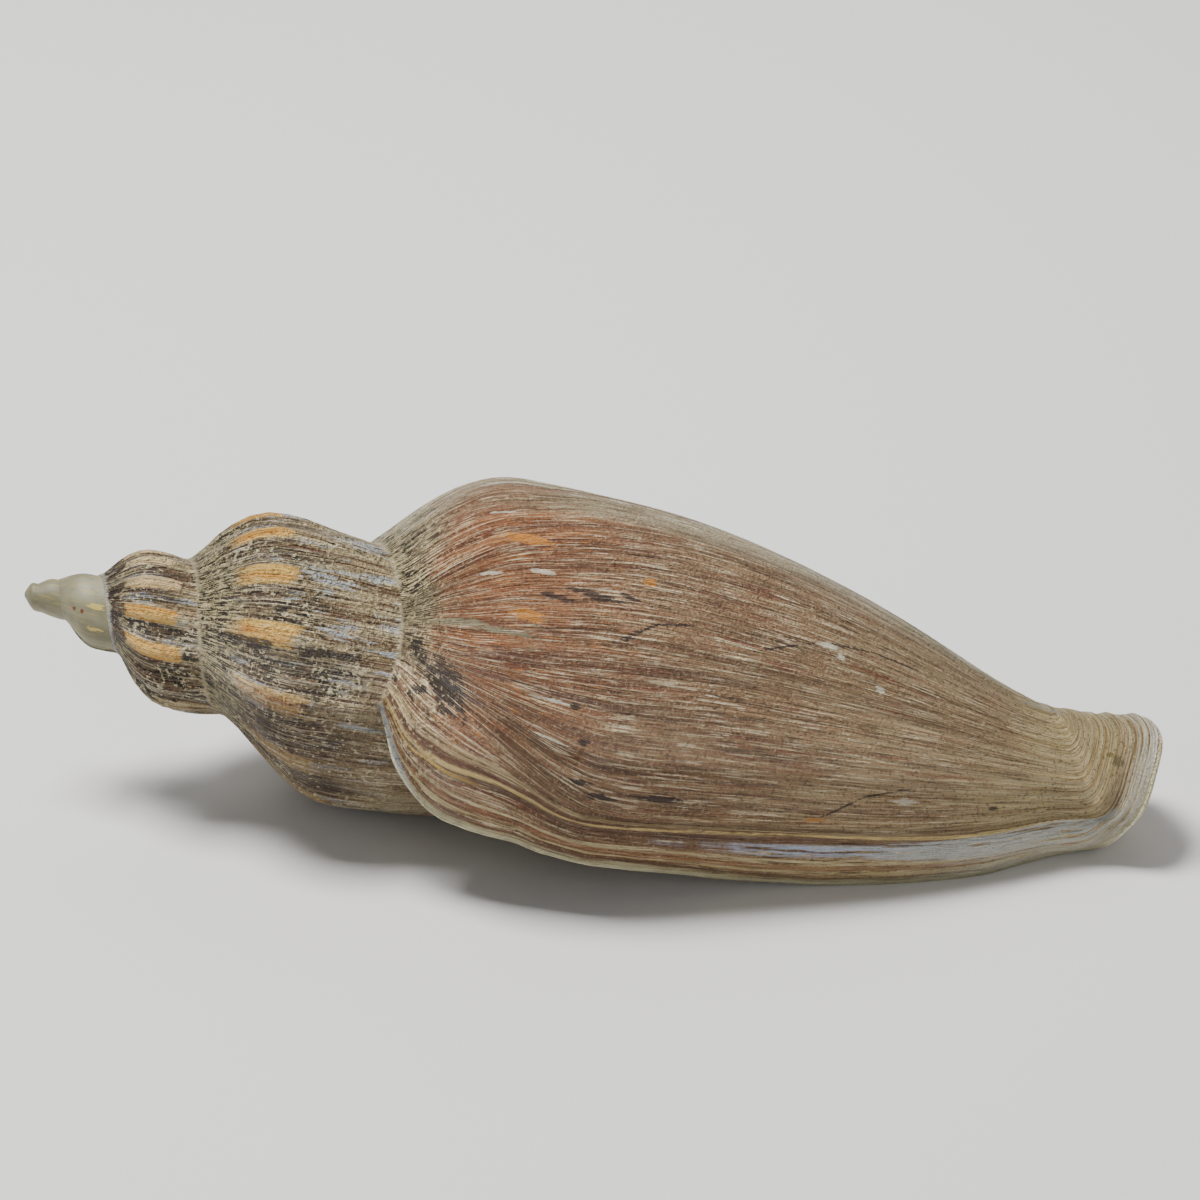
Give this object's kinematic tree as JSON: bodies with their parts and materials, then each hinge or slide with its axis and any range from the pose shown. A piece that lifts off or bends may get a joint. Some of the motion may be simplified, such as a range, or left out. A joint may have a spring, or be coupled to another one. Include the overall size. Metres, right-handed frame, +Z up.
{
  "type": "volute shell",
  "caption": "Long-spired volute sea snail shell with a ribbed spire, a long open mouth and a thin outer lip, lying on its mouth.",
  "frame": {"origin": "centre of the box round the lying shell, on the floor", "axes": "+X from the apex towards the front end of the mouth, along the floor; -Y towards the side of the outer lip; +Z up as it lies"},
  "size_m": [0.1602, 0.056, 0.0494],
  "materials": {
    "shell": "worn, half matt, mottled brown"
  },
  "bodies": {
    "root": {"shell": "shell"}
  },
  "joints": []
}
